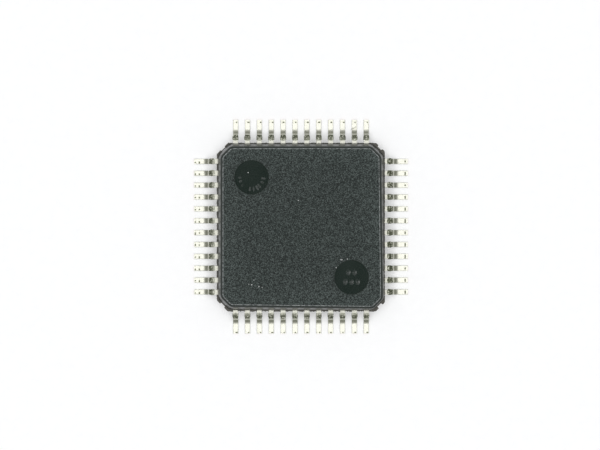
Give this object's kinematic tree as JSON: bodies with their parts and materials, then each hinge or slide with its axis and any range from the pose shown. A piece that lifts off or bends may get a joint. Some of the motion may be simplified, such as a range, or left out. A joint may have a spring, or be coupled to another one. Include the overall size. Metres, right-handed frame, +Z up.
{
  "type": "quad flat pack chip",
  "caption": "Square black moulded chip package with fine gull-wing leads on all four sides, standing on its feet.",
  "frame": {"origin": "centre of the seating plane, under the middle of the body, at the level of the feet", "axes": "+Z up, out of the top face; X and Y along the sides of the body, with the two round marks on the top face lying towards -X +Y and +X -Y"},
  "size_m": [0.009, 0.009, 0.0015],
  "materials": {
    "moulding_resin": "fine matte, dark grey, filled epoxy moulding compound",
    "tinned_lead": "matte tin plate on copper alloy, dull and cracked in the bends",
    "lead_frame_copper": "bare rolled copper alloy",
    "attach_adhesive": "silver-filled epoxy",
    "silicon": "polished silicon",
    "gold_wire": "bright drawn gold"
  },
  "bodies": {
    "root": {"moulded_body": "moulding_resin", "die_pad": "lead_frame_copper", "die_attach": "attach_adhesive", "die": "silicon", "lead_01": "tinned_lead", "lead_02": "tinned_lead", "lead_03": "tinned_lead", "lead_04": "tinned_lead", "lead_05": "tinned_lead", "lead_06": "tinned_lead", "lead_07": "tinned_lead", "lead_08": "tinned_lead", "lead_09": "tinned_lead", "lead_10": "tinned_lead", "lead_11": "tinned_lead", "lead_12": "tinned_lead", "lead_13": "tinned_lead", "lead_14": "tinned_lead", "lead_15": "tinned_lead", "lead_16": "tinned_lead", "lead_17": "tinned_lead", "lead_18": "tinned_lead", "lead_19": "tinned_lead", "lead_20": "tinned_lead", "lead_21": "tinned_lead", "lead_22": "tinned_lead", "lead_23": "tinned_lead", "lead_24": "tinned_lead", "lead_25": "tinned_lead", "lead_26": "tinned_lead", "lead_27": "tinned_lead", "lead_28": "tinned_lead", "lead_29": "tinned_lead", "lead_30": "tinned_lead", "lead_31": "tinned_lead", "lead_32": "tinned_lead", "lead_33": "tinned_lead", "lead_34": "tinned_lead", "lead_35": "tinned_lead", "lead_36": "tinned_lead", "lead_37": "tinned_lead", "lead_38": "tinned_lead", "lead_39": "tinned_lead", "lead_40": "tinned_lead", "lead_41": "tinned_lead", "lead_42": "tinned_lead", "lead_43": "tinned_lead", "lead_44": "tinned_lead", "lead_45": "tinned_lead", "lead_46": "tinned_lead", "lead_47": "tinned_lead", "lead_48": "tinned_lead", "wires_left": "gold_wire", "wires_bottom": "gold_wire", "wires_right": "gold_wire", "wires_top": "gold_wire"}
  },
  "joints": []
}
